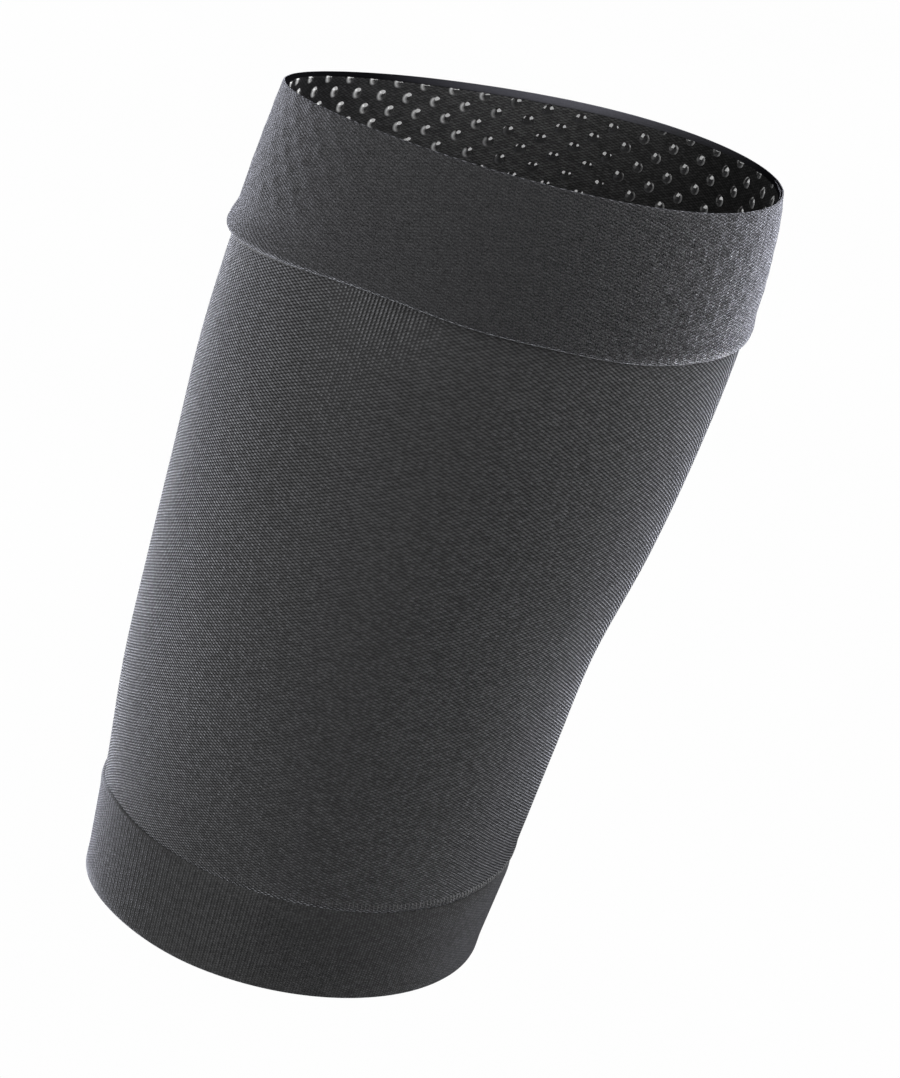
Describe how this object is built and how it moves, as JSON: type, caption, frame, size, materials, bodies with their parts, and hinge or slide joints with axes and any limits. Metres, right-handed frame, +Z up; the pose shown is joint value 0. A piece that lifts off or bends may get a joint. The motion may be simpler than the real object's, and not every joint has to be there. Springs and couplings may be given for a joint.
{
  "type": "thigh compression sleeve",
  "caption": "Knitted compression sleeve for the thigh: a tapered tube with a wide turned-over grip band lined with silicone dots above and a ribbed cuff below.",
  "frame": {"origin": "centre of the upper opening, on the thigh's axis, at the mean height of the rim", "axes": "+Z up along the thigh towards the hip, -Y to the front of the thigh, +X to the viewer's right when facing that front"},
  "size_m": [0.1904, 0.1719, 0.3068],
  "materials": {
    "body_knit": "matte",
    "band_knit": "matte",
    "lining_knit": "matte",
    "cuff_rib": "matte",
    "silicone": "gloss",
    "seam_thread": "matte"
  },
  "bodies": {
    "root": {"sleeve_body": "body_knit", "grip_band": "band_knit", "grip_lining": "lining_knit", "lower_cuff": "cuff_rib"}
  },
  "joints": []
}
